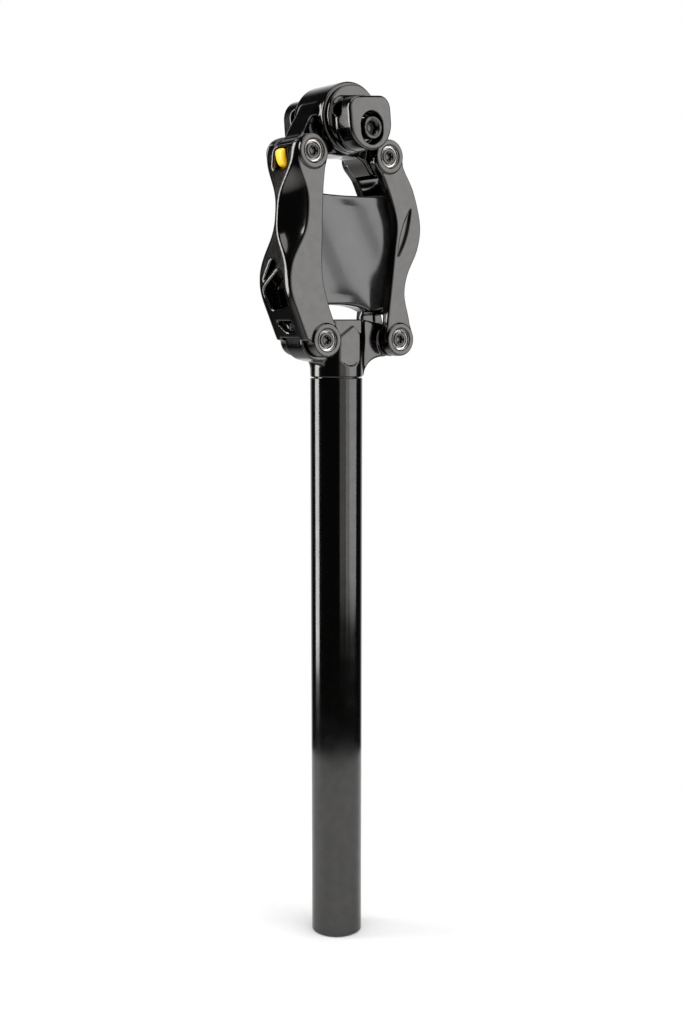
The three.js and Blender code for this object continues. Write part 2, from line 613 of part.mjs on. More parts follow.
// ---- head: two pivot barrels and the cross barrel that carries the saddle clamp ----
function makeHead() {
  const frontX = UPPER_PIVOT_X + PIVOT_BASE;
  const under = CLAMP_AXIS_Z - CLAMP_BARREL_R - 0.4;
  const web = new THREE.Shape();
  web.moveTo(...onArc(UPPER_PIVOT_X, UPPER_PIVOT_Z, HEAD_REAR_BARREL_R, 110));
  web.lineTo(...onArc(CLAMP_AXIS_X, CLAMP_AXIS_Z, CLAMP_BARREL_R - 0.3, 163));
  web.lineTo(CLAMP_AXIS_X, CLAMP_AXIS_Z);
  web.lineTo(...onArc(CLAMP_AXIS_X, CLAMP_AXIS_Z, CLAMP_BARREL_R - 0.3, 30));
  web.lineTo(...onArc(frontX, UPPER_PIVOT_Z, HEAD_FRONT_BARREL_R, 50));
  web.lineTo(frontX, UPPER_PIVOT_Z);
  web.lineTo(...onArc(frontX, UPPER_PIVOT_Z, HEAD_FRONT_BARREL_R, 235));
  web.quadraticCurveTo(frontX - 14, under, CLAMP_AXIS_X + 4, under);
  web.lineTo(CLAMP_AXIS_X - 8, under);
  const rearFoot = onArc(UPPER_PIVOT_X, UPPER_PIVOT_Z, HEAD_REAR_BARREL_R, -60);
  web.quadraticCurveTo(UPPER_PIVOT_X + 12, under - 1, ...rearFoot);
  web.lineTo(UPPER_PIVOT_X, UPPER_PIVOT_Z);
  web.closePath();
  const half = BARREL_HALF_LENGTH;
  const crossHalf = CLAMP_BARREL_HALF_LENGTH;
  const body = join(
    plate(web, -half, half),
    rod(UPPER_PIVOT_X, UPPER_PIVOT_Z, HEAD_REAR_BARREL_R, -half, half, BIG_SIDES),
    rod(frontX, UPPER_PIVOT_Z, HEAD_FRONT_BARREL_R, -half, half, BIG_SIDES),
    rod(CLAMP_AXIS_X, CLAMP_AXIS_Z, CLAMP_BARREL_R, -crossHalf, crossHalf, BIG_SIDES),
  );
  return cut(
    body,
    rod(CLAMP_AXIS_X, CLAMP_AXIS_Z, CLAMP_BARREL_BORE_R, -FAR, FAR, BIG_SIDES),
    rod(UPPER_PIVOT_X, UPPER_PIVOT_Z, BUSHING_R + RUN_GAP, -FAR, FAR),
    rod(frontX, UPPER_PIVOT_Z, BUSHING_R + RUN_GAP, -FAR, FAR),
  );
}

addMesh(seatpost, 'head', makeHead(), GLOSS_BLACK);

// ---- saddle clamp, in its own frame on the cross barrel's axis, set with its nose up ----
const clamp = new THREE.Group();
clamp.position.set(CLAMP_AXIS_X, 0, CLAMP_AXIS_Z);
clamp.rotation.y = -CLAMP_TILT;
seatpost.add(clamp);

// The jaws' outline: a round foot and a flat top, which stands higher on the nut's side.
function jawShape(side) {
  const [top, corner] = side < 0 ? [BOLT_JAW_TOP, BOLT_JAW_CORNER] : [NUT_JAW_TOP, NUT_JAW_CORNER];
  const cornerX = JAW_HALF_WIDTH - corner;
  const shape = new THREE.Shape();
  shape.absarc(0, JAW_HALF_WIDTH - JAW_DROP, JAW_HALF_WIDTH, 0, -Math.PI, true);
  shape.absarc(-cornerX, top - corner, corner, Math.PI, Math.PI / 2, true);
  shape.absarc(cornerX, top - corner, corner, Math.PI / 2, 0, true);
  shape.closePath();
  return shape;
}

// The oval channel for one saddle rail, along x.
function railChannel(side) {
  const shape = new THREE.Shape();
  const half = RAIL_CHANNEL_STRAIGHT / 2;
  shape.absarc(0, half, RAIL_CHANNEL_R, 0, Math.PI, false);
  shape.absarc(0, -half, RAIL_CHANNEL_R, Math.PI, Math.PI * 2, false);
  shape.closePath();
  const geometry = new THREE.ExtrudeGeometry(shape, { depth: FAR, bevelEnabled: false, curveSegments: 8 });
  geometry.rotateX(Math.PI / 2);
  geometry.rotateZ(Math.PI / 2);
  geometry.translate(-FAR / 2, side * RAIL_Y, RAIL_RISE);
  return solid(geometry);
}

function makeInnerClamp(side) {
  const flange = CLAMP_BARREL_HALF_LENGTH + SEAT_GAP;
  const hubSpan = outward(side, flange - INNER_CLAMP_HUB_DEPTH, flange + 1);
  const hub = rod(0, 0, CLAMP_BARREL_BORE_R - SEAT_GAP, ...hubSpan, BIG_SIDES);
  const discSpan = outward(side, flange, flange + INNER_CLAMP_FLANGE);
  const disc = rod(0, 0, INNER_CLAMP_FLANGE_R, ...discSpan, BIG_SIDES);
  const jaw = plate(jawShape(side), ...outward(side, flange, RAIL_Y - SEAT_GAP / 2));
  const bore = rod(0, -BOLT_DROP, BOLT_R + SEAT_GAP, ...outward(side, 0, FAR));
  return cut(join(hub, disc, jaw), railChannel(side), bore);
}

const RECESS_FLOOR_Y = JAW_OUTER_Y - BOLT_HEAD_HEIGHT - BOLT_WASHER + 0.2;

function makeOuterClamp(side) {
  const body = plate(jawShape(side), ...outward(side, RAIL_Y + SEAT_GAP / 2, JAW_OUTER_Y));
  const recess = new THREE.Shape();
  recess.absarc(0, -BOLT_DROP + RECESS_STRETCH, RECESS_R, 0, Math.PI, false);
  recess.absarc(0, -BOLT_DROP - RECESS_STRETCH, RECESS_R, Math.PI, Math.PI * 2, false);
  recess.closePath();
  return cut(
    body,
    railChannel(side),
    plate(recess, ...outward(side, RECESS_FLOOR_Y, FAR)),
    rod(0, -BOLT_DROP, BOLT_R + SEAT_GAP, ...outward(side, 0, FAR)),
  );
}

const HEAD_SEAT_Y = RECESS_FLOOR_Y + SEAT_GAP + BOLT_WASHER + SEAT_GAP;
const NUT_SEAT_Y = RECESS_FLOOR_Y + SEAT_GAP;

function makeClampBolt() {
  const tip = NUT_SEAT_Y + NUT_HEIGHT - 1;
  const top = -(HEAD_SEAT_Y + BOLT_HEAD_HEIGHT);
  const body = join(
    rod(0, -BOLT_DROP, BOLT_R, -HEAD_SEAT_Y - 1, tip),
    rod(0, -BOLT_DROP, BOLT_HEAD_R, top, -HEAD_SEAT_Y, 32),
  );
  const socket = hexBar(BOLT_SOCKET_R, top - 1, top + BOLT_SOCKET_DEPTH).translate(0, 0, -BOLT_DROP);
  return body.subtract(socket);
}

function makeBoltWasher() {
  const outer = -(RECESS_FLOOR_Y + SEAT_GAP);
  const ring = rod(0, -BOLT_DROP, BOLT_HEAD_R + 0.4, outer - BOLT_WASHER, outer, 32);
  return ring.subtract(rod(0, -BOLT_DROP, BOLT_R + SEAT_GAP, -FAR, FAR));
}

function makeNut() {
  const outer = NUT_SEAT_Y + NUT_HEIGHT;
  const body = rod(0, -BOLT_DROP, NUT_R, NUT_SEAT_Y, outer, 32);
  return body.subtract(rod(0, -BOLT_DROP, BOLT_R + RUN_GAP, NUT_SEAT_Y - 1, outer + 1));
}

for (const [hand, side] of SIDES) {
  addMesh(clamp, `inner_clamp_${hand}`, makeInnerClamp(side), GLOSS_BLACK);
  addMesh(clamp, `outer_clamp_${hand}`, makeOuterClamp(side), GLOSS_BLACK);
}
addMesh(clamp, 'clamp_bolt', makeClampBolt(), DARK_STEEL);
addMesh(clamp, 'clamp_bolt_washer', makeBoltWasher(), SATIN_STEEL);
addMesh(clamp, 'clamp_nut', makeNut(), DARK_STEEL);

export default seatpost;
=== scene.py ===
import json
import math

import bmesh
import bpy
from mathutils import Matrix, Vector
import numpy as np


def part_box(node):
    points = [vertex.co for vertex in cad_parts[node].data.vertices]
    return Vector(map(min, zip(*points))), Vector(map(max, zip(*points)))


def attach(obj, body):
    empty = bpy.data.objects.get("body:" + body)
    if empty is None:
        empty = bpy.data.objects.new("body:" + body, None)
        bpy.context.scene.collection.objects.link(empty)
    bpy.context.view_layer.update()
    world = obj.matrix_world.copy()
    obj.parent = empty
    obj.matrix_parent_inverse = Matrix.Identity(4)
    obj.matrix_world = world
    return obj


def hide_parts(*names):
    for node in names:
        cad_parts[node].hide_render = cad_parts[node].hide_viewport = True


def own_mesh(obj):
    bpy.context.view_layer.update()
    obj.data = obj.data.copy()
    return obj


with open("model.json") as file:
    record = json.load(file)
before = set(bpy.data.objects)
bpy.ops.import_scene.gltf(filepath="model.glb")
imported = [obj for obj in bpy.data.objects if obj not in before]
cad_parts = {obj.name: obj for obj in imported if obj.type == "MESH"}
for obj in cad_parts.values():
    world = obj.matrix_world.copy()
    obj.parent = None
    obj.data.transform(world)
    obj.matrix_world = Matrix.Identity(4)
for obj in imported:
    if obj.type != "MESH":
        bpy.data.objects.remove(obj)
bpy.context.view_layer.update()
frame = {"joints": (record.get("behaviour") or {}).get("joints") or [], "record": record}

# Lengths below are in millimetres until a mesh is made.
MM = 0.001
RECORD = frame["record"]
BODY_OF = {node: body for body, nodes in RECORD["behaviour"]["bodies"].items() for node in nodes}
SLOT_OF = {part["node"]: part["material_slot"] for part in RECORD["subparts"]}
JOINTS = {joint["name"]: joint for joint in frame["joints"]}


def pivot(joint):
    x, _, z = JOINTS[joint]["pos_m"]
    return np.array([x, z]) / MM


def box(node):
    low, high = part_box(node)
    return np.array(low) / MM, np.array(high) / MM


LOWER_REAR, LOWER_FRONT = pivot("suspension"), pivot("front_link_pivot")
UPPER_REAR, CLAMP_AXIS = pivot("head_pivot"), pivot("clamp_tilt")
UPPER_FRONT = UPPER_REAR + LOWER_FRONT - LOWER_REAR
LINK_LENGTH = float(np.hypot(*(UPPER_REAR - LOWER_REAR)))
LINK_LEAN = math.atan2(LOWER_REAR[0] - UPPER_REAR[0], UPPER_REAR[1] - LOWER_REAR[1])
CLAMP_TILT = math.radians(5)

EAR_INNER = 10.0
BARREL_HALF = 9.0
EAR_RADIUS = 10.0
EAR_ROOM_RADIUS = 11.8
BOSS_RADIUS = 9.8
BOSS_FACE = box("front_link")[1][1]
LINK_HALF = BOSS_FACE - 1.5
COUNTERBORE_FLOOR = BOSS_FACE - 2.7
COUNTERBORE_RADIUS = 6.55
AXLE_HOLE_RADIUS = 5.15
BUSHING_SEAT_RADIUS = 6.7

# Spacing of the sample points, from the large forgings down to the axle bolts.
FORGING_CELL, CLAMP_CELL, SMALL_CELL, TINY_CELL = 0.5, 0.4, 0.3, 0.2


# ---- distance fields: negative inside, in millimetres ----
class Grid:
    """Sample points for one piece; the three axes broadcast together."""

    MARGIN = 2.37  # in cells, and not whole, which keeps flat faces off the sample points

    def __init__(self, low, high, cell):
        self.cell = cell
        self.low = np.array(low, float) - self.MARGIN * cell
        counts = np.ceil((np.array(high, float) - self.low) / cell).astype(int) + 3
        axes = [self.low[i] + cell * np.arange(counts[i]) for i in range(3)]
        self.shape = tuple(counts)
        self.x, self.y, self.z = np.meshgrid(*axes, indexing="ij", sparse=True)


# u and v stand for any two of the three axes.
def disc(u, v, centre, radius):
    return np.hypot(u - centre[0], v - centre[1]) - radius


def slab(u, low, high):
    return np.maximum(low - u, u - high)


def both(a, b, r=0.0):
    """Where both fields are solid; a corner between them gets radius r."""
    if r == 0:
        return np.maximum(a, b)
    return np.minimum(np.maximum(a, b), -r) + np.hypot(np.maximum(a + r, 0), np.maximum(b + r, 0))


def either(a, b, r=0.0):
    return -both(-a, -b, r)


def less(a, b, r=0.0):
    return both(a, -b, r)


def polygon(u, v, points):
    """The distance to an outline; sides of no length are passed over."""
    u, v = np.broadcast_arrays(u, v)
    nearest = np.full(u.shape, 1e9)
    inside = np.zeros(u.shape, bool)
    ends = points[1:] + points[:1]
    for (ax, ay), (bx, by) in zip(points, ends):
        ex, ey = bx - ax, by - ay
        size = ex * ex + ey * ey
        if size < 1e-12:
            continue
        wx, wy = u - ax, v - ay
        t = np.clip((wx * ex + wy * ey) / size, 0, 1)
        nearest = np.minimum(nearest, (wx - t * ex) ** 2 + (wy - t * ey) ** 2)
        if abs(ey) > 1e-9:
            inside ^= ((ay > v) != (by > v)) & (u < ex * (v - ay) / ey + ax)
    return np.where(inside, -1, 1) * np.sqrt(nearest)


def curve(points, steps=8):
    """A Catmull-Rom curve through the points."""
    p = np.array([points[0], *points, points[-1]], float)
    out = []
    for i in range(1, len(p) - 2):
        for k in range(steps):
            t = k / steps
            a = 2 * p[i]
            b = (p[i + 1] - p[i - 1]) * t
            c = (2 * p[i - 1] - 5 * p[i] + 4 * p[i + 1] - p[i + 2]) * t * t
            d = (3 * p[i] - p[i - 1] - 3 * p[i + 1] + p[i + 2]) * t ** 3
            out.append(tuple((a + b + c + d) / 2))
    return [*out, tuple(p[-2])]


def bend(start, control, end, steps=10):
    """Points of a quadratic curve, without its start."""
    s, c, e = (np.array(point, float) for point in (start, control, end))
    ts = [k / steps for k in range(1, steps + 1)]
    return [tuple((1 - t) ** 2 * s + 2 * t * (1 - t) * c + t * t * e) for t in ts]


def rounded(points, radius, most=0.45):
    """The polygon with its corners eased over a length of radius, or that share of a side at most."""
    out = []
    for i, here in enumerate(points):
        b = np.array(here, float)
        back = np.array(points[i - 1], float) - b
        on = np.array(points[(i + 1) % len(points)], float) - b
        reach = min(radius, most * np.hypot(*back), most * np.hypot(*on))
        start, end = b + back / np.hypot(*back) * reach, b + on / np.hypot(*on) * reach
        out += [tuple(start), *bend(start, b, end, 6)]
    return out


def on_arc(centre, radius, degrees):
    angle = math.radians(degrees)
    return (centre[0] + radius * math.cos(angle), centre[1] + radius * math.sin(angle))


def arc(centre, radius, start, end, steps=24):
    return [on_arc(centre, radius, start + (end - start) * k / steps) for k in range(steps + 1)]


CUBE = [(i, j, k) for i in (0, 1) for j in (0, 1) for k in (0, 1)]
EDGES = [
    (a, b) for a in range(8) for b in range(a + 1, 8)
    if sum(p != q for p, q in zip(CUBE[a], CUBE[b])) == 1
]


def crossing_points(values, rounds=2, longest_step=0.4):
    """A point of the zero surface in each cell, as shares of the cell, from its corners' values."""
    total, hits = np.zeros((len(values), 3)), np.zeros(len(values))
    for a, b in EDGES:
        fa, fb = values[:, a], values[:, b]
        crossed = (fa < 0) != (fb < 0)
        share = np.where(crossed, fa / np.where(crossed, fa - fb, 1), 0)[:, None]
        here = np.array(CUBE[a]) + share * (np.array(CUBE[b]) - np.array(CUBE[a]))
        total[crossed] += here[crossed]
        hits += crossed
    local = total / hits[:, None]
    for _ in range(rounds):
        value = np.zeros(len(values))
        slope = np.zeros((len(values), 3))
        for n, corner in enumerate(CUBE):
            near = [local[:, m] if corner[m] else 1 - local[:, m] for m in range(3)]
            value = value + np.prod(near, axis=0) * values[:, n]
            for axis in range(3):
                flat = np.prod([near[m] for m in range(3) if m != axis], axis=0)
                slope[:, axis] += flat * values[:, n] * (1 if corner[axis] else -1)
        step = (value / np.maximum((slope ** 2).sum(1), 1e-3))[:, None] * slope
        local = np.clip(local - np.clip(step, -longest_step, longest_step), 0, 1)
    return local


def crossing_quads(inside, number):
    """A quad round each grid edge that crosses the surface, from the vertices of its four cells."""
    quads = []
    for axis in range(3):
        u, v = (axis + 1) % 3, (axis + 2) % 3
        first = np.take(inside, range(inside.shape[axis] - 1), axis)
        second = np.take(inside, range(1, inside.shape[axis]), axis)
        at = np.argwhere(first != second)
        for side in (u, v):
            at = at[(at[:, side] > 0) & (at[:, side] < inside.shape[side] - 1)]
        step_u, step_v = np.eye(3, dtype=int)[u], np.eye(3, dtype=int)[v]
        ring = [at - step_u - step_v, at - step_v, at, at - step_u]
        quad = np.stack([number[tuple(c.T)] for c in ring], axis=1)
        outward = first[tuple(at.T)]
        quads.append(np.where(outward[:, None], quad, quad[:, ::-1]))
    return np.concatenate(quads)


def surface(field, grid):
    """Vertices and quads of the field's zero surface, one vertex to each cell it crosses."""
    field = np.ascontiguousarray(np.broadcast_to(field, grid.shape), dtype=float)
    inside = field < 0
    counts = sum(
        inside[i:grid.shape[0] - 1 + i, j:grid.shape[1] - 1 + j, k:grid.shape[2] - 1 + k].astype(np.int8)
        for i, j, k in CUBE
    )
    mixed = (counts > 0) & (counts < 8)
    cells = np.argwhere(mixed)
    number = np.full(mixed.shape, -1)
    number[mixed] = np.arange(len(cells))
    values = np.stack([field[tuple((cells + corner).T)] for corner in CUBE], axis=1)
    points = grid.low + grid.cell * (cells + crossing_points(values))
    return relaxed(points, crossing_quads(inside, number))


def relaxed(points, quads, rounds=2, share=0.5):
    """The same mesh with each vertex drawn part of the way to the middle of its neighbours."""
    a = np.concatenate([quads[:, i] for i in range(4)])
    b = np.concatenate([quads[:, (i + 1) % 4] for i in range(4)])
    degree = np.bincount(a, minlength=len(points)) + np.bincount(b, minlength=len(points))
    for _ in range(rounds):
        middle = np.zeros_like(points)
        for axis in range(3):
            before = np.bincount(a, points[b, axis], len(points))
            after = np.bincount(b, points[a, axis], len(points))
            middle[:, axis] = (before + after) / degree
        points = points + share * (middle - points)
    return points, quads


# ---- meshes ----
def turned(profile, segments=96):
    """A closed ring about an axis, from a section of (radius, distance along the axis)."""
    points, faces = [], []
    for radius, along in profile:
        for k in range(segments):
            angle = 2 * math.pi * k / segments
            points.append((radius * math.cos(angle), along, radius * math.sin(angle)))
    rings = len(profile)
    for i in range(rings):
        j = (i + 1) % rings
        for k in range(segments):
            n = (k + 1) % segments
            faces.append((i * segments + k, i * segments + n, j * segments + n, j * segments + k))
    return np.array(points), faces


def tilted(points, origin, angle):
    """Points of a frame turned nose up by angle, with its origin at that x and z, as row points."""
    x, y, z = points.T
    c, s = math.cos(angle), math.sin(angle)
    return np.stack([origin[0] + x * c - z * s, y, origin[1] + x * s + z * c], axis=1)


def moved(points, origin):
    return points + np.array([origin[0], 0, origin[1]])


def make_object(name, points, faces, material, crease=None):
    mesh = bpy.data.meshes.new(name)
    mesh.from_pydata((np.asarray(points) * MM).tolist(), [], np.asarray(faces).tolist())
    mesh.validate()
    mesh.polygons.foreach_set("use_smooth", [True] * len(mesh.polygons))
    if crease:
        mesh.set_sharp_from_angle(angle=math.radians(crease))
    mesh.materials.append(material)
    obj = bpy.data.objects.new(name, mesh)
    bpy.context.scene.collection.objects.link(obj)
    return obj


def merged(obj):
    """Welds doubled vertices and turns all faces outward."""
    shape = bmesh.new()
    shape.from_mesh(obj.data)
    bmesh.ops.remove_doubles(shape, verts=shape.verts, dist=1e-6)
    bmesh.ops.recalc_face_normals(shape, faces=shape.faces)
    shape.to_mesh(obj.data)
    shape.free()
    return obj


def add_piece(node, points, faces, crease=None, part=""):
    """One visible piece that stands for a CAD node, rides on its body and wears its slot's finish."""
    obj = make_object(f"{node}_shape{part}", points, faces, MATERIALS[SLOT_OF[node]], crease)
    if crease:
        merged(obj)
    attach(obj, BODY_OF[node])
    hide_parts(node)
    return obj


# ---- finishes ----
def map_range(tree, source, start, end, low, high):
    """The source's stretch from start to end, taken to the stretch from low to high."""
    node = tree.nodes.new("ShaderNodeMapRange")
    for socket, value in (("From Min", start), ("From Max", end), ("To Min", low), ("To Max", high)):
        node.inputs[socket].default_value = value
    tree.links.new(source, node.inputs["Value"])
    return node.outputs["Result"]


def finish(name, dark, light, roughness, spread, metallic, grain, bump, **constants):
    """A procedural finish: two tones in a fine mottle, uneven gloss and a faint surface grain."""
    material = bpy.data.materials.new(name)
    material.use_nodes = True
    tree = material.node_tree
    shader = tree.nodes["Principled BSDF"]
    shader.inputs["Metallic"].default_value = metallic
    for socket, value in constants.items():
        shader.inputs[socket.replace("_", " ")].default_value = value
    place = tree.nodes.new("ShaderNodeTexCoord")

    def noise(scale, detail):
        node = tree.nodes.new("ShaderNodeTexNoise")
        node.inputs["Scale"].default_value = scale
        node.inputs["Detail"].default_value = detail
        tree.links.new(place.outputs["Object"], node.inputs["Vector"])
        return node.outputs["Fac"]

    mottle = noise(scale=grain * 0.25, detail=4)
    haze = noise(scale=grain * 0.12, detail=3)
    fine = noise(scale=grain, detail=5)
    tone = tree.nodes.new("ShaderNodeValToRGB")
    for element, position, color in zip(tone.color_ramp.elements, (0.35, 0.68), (dark, light)):
        element.position = position
        element.color = (*color, 1)
    tree.links.new(mottle, tone.inputs["Fac"])
    tree.links.new(tone.outputs["Color"], shader.inputs["Base Color"])
    gloss = map_range(tree, haze, start=0.3, end=0.7, low=roughness - spread, high=roughness + spread)
    tree.links.new(gloss, shader.inputs["Roughness"])
    grit = tree.nodes.new("ShaderNodeBump")
    grit.inputs["Strength"].default_value = 1
    grit.inputs["Distance"].default_value = bump
    tree.links.new(fine, grit.inputs["Height"])
    tree.links.new(grit.outputs["Normal"], shader.inputs["Normal"])
    return material


def grey(value, warm=0.0):
    return (value * (1 + warm), value, value * (1 - warm))


# Grain counts the noise's cells in a metre, and bump is its height in metres.
FINISHES = {
    "gloss_black_alloy": dict(
        dark=grey(0.076, 0.03), light=grey(0.084, 0.03), roughness=0.13, spread=0.02,
        metallic=1.0, grain=900, bump=1.0e-6,
    ),
    "satin_black_tube": dict(
        dark=grey(0.066, 0.02), light=grey(0.074, 0.02), roughness=0.12, spread=0.02,
        metallic=1.0, grain=700, bump=0.8e-6,
    ),
    "bright_steel": dict(
        dark=grey(0.50, 0.03), light=grey(0.60, 0.03), roughness=0.20, spread=0.05,
        metallic=1.0, grain=2200, bump=1.5e-6,
    ),
    "dark_steel": dict(
        dark=grey(0.06, 0.02), light=grey(0.10, 0.02), roughness=0.30, spread=0.07,
        metallic=1.0, grain=2200, bump=6e-6,
    ),
    "bearing_plastic": dict(
        dark=grey(0.03, 0.04), light=grey(0.05, 0.04), roughness=0.55, spread=0.08,
        metallic=0.0, grain=1500, bump=1e-5,
    ),
    "elastomer_rubber": dict(
        dark=grey(0.010, 0.03), light=grey(0.016, 0.03), roughness=0.22, spread=0.04,
        metallic=0.0, grain=650, bump=6e-6, Specular_IOR_Level=0.9,
    ),
    "yellow_bumper": dict(
        dark=(0.92, 0.50, 0.004), light=(1.0, 0.60, 0.008), roughness=0.42, spread=0.06,
        metallic=0.0, grain=800, bump=1.2e-5,
    ),
}
MATERIALS = {slot: finish(slot, **look) for slot, look in FINISHES.items()}


# ---- links, built in a frame where x points forward from the pivots' line and z runs along it ----
REAR_BACK = [
    (-13.8, 1), (-18.7, 15.8), (-22.4, 28), (-22.8, 38), (-20.4, 56), (-17.6, 72), (-15.2, 88), (-12.8, 101),
    (-11.5, 107), (-9.6, 112),
]
REAR_FRONT = [(9.6, 105), (8.2, 98), (5.9, 85.6), (3.2, 63), (1.1, 38), (3.6, 21.7), (7, 10), (9.6, 1)]
FRONT_BACK = [(-9.8, 1), (-7.6, 14), (-4.2, 30), (0.5, 53), (3.1, 67.8), (0.4, 82), (-5.4, 97.5), (-9.2, 104)]
FRONT_FRONT = [
    (9.6, 105), (12, 98.4), (17.8, 86), (21.4, 67), (18.2, 52.3), (9.6, 38), (6.4, 26), (8.6, 12), (9.8, 1),
]
# Corners of the rear face's pockets, as across and up.
REAR_POCKETS = [
    [(2.5, 49), (-3.5, 45.5), (11.2, 35.5)],
    [(-5, 42.5), (-9.6, 38.8), (-10.8, 21.5), (9, 19), (11.8, 31.5)],
    [(9, 12.5), (-8.5, 12.5), (-8, 6), (1.5, 5.5)],
]
REAR_INNER, REAR_WAIST_INNER, POCKET_FLOOR = -8.0, -5.0, -12.5
REAR_WEB_FOOT, REAR_WEB_TOP = 2.5, LINK_LENGTH + 5.4
REAR_LOWER_ROOM, REAR_UPPER_ROOM, REAR_BARREL_WALL = 12.8, 9.6, 15.05
REAR_WINDOW_HALF, REAR_WINDOW_FOOT, REAR_WINDOW_TOP = 6.8, LINK_LENGTH - 8.5, LINK_LENGTH + 3.6
# The rear face is FACE_HALF wide on each side, and FACE_PINCH less at the waist, where its flanks
# drop by FLANK_GAIN more and hollow out by FLANK_SCOOP.
WAIST_AT, WAIST_SPAN = 74.0, 22.0
FACE_HALF, FACE_PINCH = 14.6, 12.8
FLANK_DROP, FLANK_GAIN, FLANK_SCOOP = 0.8, 10.2, 2.0
FRONT_WEB, FRONT_WEB_TOP, FRONT_WEB_FOOT, FRONT_UPPER_ROOM = 5, LINK_LENGTH - 16, 14.5, 17.5
LEAF_FOOT, LEAF_TIP, LEAF_BELLY, LEAF_DEPTH = (2.5, 48.5), (14.6, 76.7), (3.2, -3.2), 1.8


def link_grid(back, front):
    low = min(x for x, _ in back) - 1, -BOSS_FACE, -EAR_RADIUS
    high = max(max(x for x, _ in front), EAR_RADIUS) + 1, BOSS_FACE, LINK_LENGTH + EAR_RADIUS
    return Grid(low, high, FORGING_CELL)


def link_blank(g, back, front):
    """Both side plates and the web between them as one solid with rounded rims."""
    side = polygon(g.x, g.z, [*curve(back), (0, LINK_LENGTH), *curve(front), (0, 0)])
    for height in (0, LINK_LENGTH):
        side = either(side, disc(g.x, g.z, (0, height), EAR_RADIUS), r=3.0)
    return both(side, np.abs(g.y) - LINK_HALF, r=1.0)


def with_pivots(g, body):
    """The link with a boss, a counterbore and an axle hole in each ear."""
    across = np.abs(g.y)
    for height in (0, LINK_LENGTH):
        round_axis = np.hypot(g.x, g.z - height)
        boss = both(round_axis - BOSS_RADIUS, slab(across, EAR_INNER, BOSS_FACE), r=0.45)
        body = either(body, boss, r=0.5)
        body = less(body, both(round_axis - COUNTERBORE_RADIUS, COUNTERBORE_FLOOR - across), r=0.3)
        body = less(body, round_axis - AXLE_HOLE_RADIUS)
    return body


def rear_flanks(g):
    """The flanks on both sides of the rear face, which close in and hollow out at the waist."""
    across = np.abs(g.y)
    pinch = np.exp(-np.abs((g.z - WAIST_AT) / WAIST_SPAN) ** 3)
    line = curve(REAR_BACK, 12)
    face = np.interp(g.z, [z for _, z in line], [x for x, _ in line])
    half = FACE_HALF - FACE_PINCH * pinch
    depth = FLANK_DROP + FLANK_GAIN * pinch
    run = LINK_HALF - half
    size = np.hypot(run, depth)
    along = ((g.x - face) * depth + (across - half) * run) / size ** 2
    scoop = FLANK_SCOOP * pinch * np.maximum(0, 1 - (2 * np.clip(along, 0, 1) - 1) ** 2)
    return ((across - half) * depth - (g.x - face) * run) / size + scoop


def rear_channel():
    """The side outline of the room between the rear link's plates, open to the front and below."""
    beyond, crown = 60, LINK_LENGTH + 6.4
    return rounded([
        (REAR_INNER, -20), (REAR_INNER, 60), (REAR_WAIST_INNER, 68), (REAR_WAIST_INNER, LINK_LENGTH),
        (0, crown), (beyond, crown), (beyond, -20),
    ], 5)


def rear_link():
    g = link_grid(REAR_BACK, REAR_FRONT)
    across = np.abs(g.y)
    within = across - EAR_INNER
    body = both(link_blank(g, REAR_BACK, REAR_FRONT), rear_flanks(g), r=0.7)
    body = less(body, both(polygon(g.x, g.z, rear_channel()), within, r=1.0), r=0.5)
    body = less(body, both(g.z - REAR_WEB_FOOT, within), r=0.4)
    body = less(body, both(REAR_WEB_TOP - g.z, within, r=1.5), r=1.6)
    for height, room in ((0, REAR_LOWER_ROOM), (LINK_LENGTH, REAR_UPPER_ROOM)):
        body = less(body, both(disc(g.x, g.z, (0, height), room), within), r=0.4)
    window = both(across - REAR_WINDOW_HALF, slab(g.z, REAR_WINDOW_FOOT, REAR_WINDOW_TOP), r=2.6)
    body = less(body, both(window, g.x), r=0.9)
    barrel_wall = disc(g.x, g.z, (0, 0), REAR_BARREL_WALL)
    for corners in REAR_POCKETS:
        pocket = both(polygon(g.y, g.z, rounded(corners, 3.2)), g.x - POCKET_FLOOR, r=1.5)
        body = less(body, less(pocket, barrel_wall, r=0.8), r=0.8)
    return surface(with_pivots(g, body), g)


def front_channel():
    """The side outline of the room between the front link's plates, open to the rear and below."""
    beyond, crown, foot_inner = -60, FRONT_WEB_TOP + 20, 1.4
    web = curve([(x - FRONT_WEB, z) for x, z in FRONT_FRONT[2:-2]])
    shoulder = web[0][0] - 1
    return [
        (beyond, crown), (shoulder, crown), (shoulder, FRONT_WEB_TOP), *web,
        (foot_inner, FRONT_WEB_FOOT), (foot_inner, -20), (beyond, -20),
    ]


def leaf_recess(g):
    low, high, belly = (np.array(point) for point in (LEAF_FOOT, LEAF_TIP, LEAF_BELLY))
    middle = (low + high) / 2
    leaf = [*bend(low, middle + belly, high, 16), *bend(high, middle - belly, low, 16)]
    return both(polygon(g.x, g.z, leaf), LINK_HALF - LEAF_DEPTH - np.abs(g.y), r=1.0)


def front_link():
    g = link_grid(FRONT_BACK, FRONT_FRONT)
    within = np.abs(g.y) - EAR_INNER
    body = link_blank(g, FRONT_BACK, FRONT_FRONT)
    body = less(body, both(polygon(g.x, g.z, front_channel()), within, r=1.0), r=0.5)
    body = less(body, both(g.z - FRONT_WEB_FOOT, within, r=0.4), r=2.0)
    around_pivot = disc(g.x, g.z, (0, LINK_LENGTH), FRONT_UPPER_ROOM)
    body = less(body, both(either(around_pivot, LINK_LENGTH - g.z), within, r=1.5), r=1.0)
    body = less(body, leaf_recess(g), r=0.6)
    return surface(with_pivots(g, body), g)


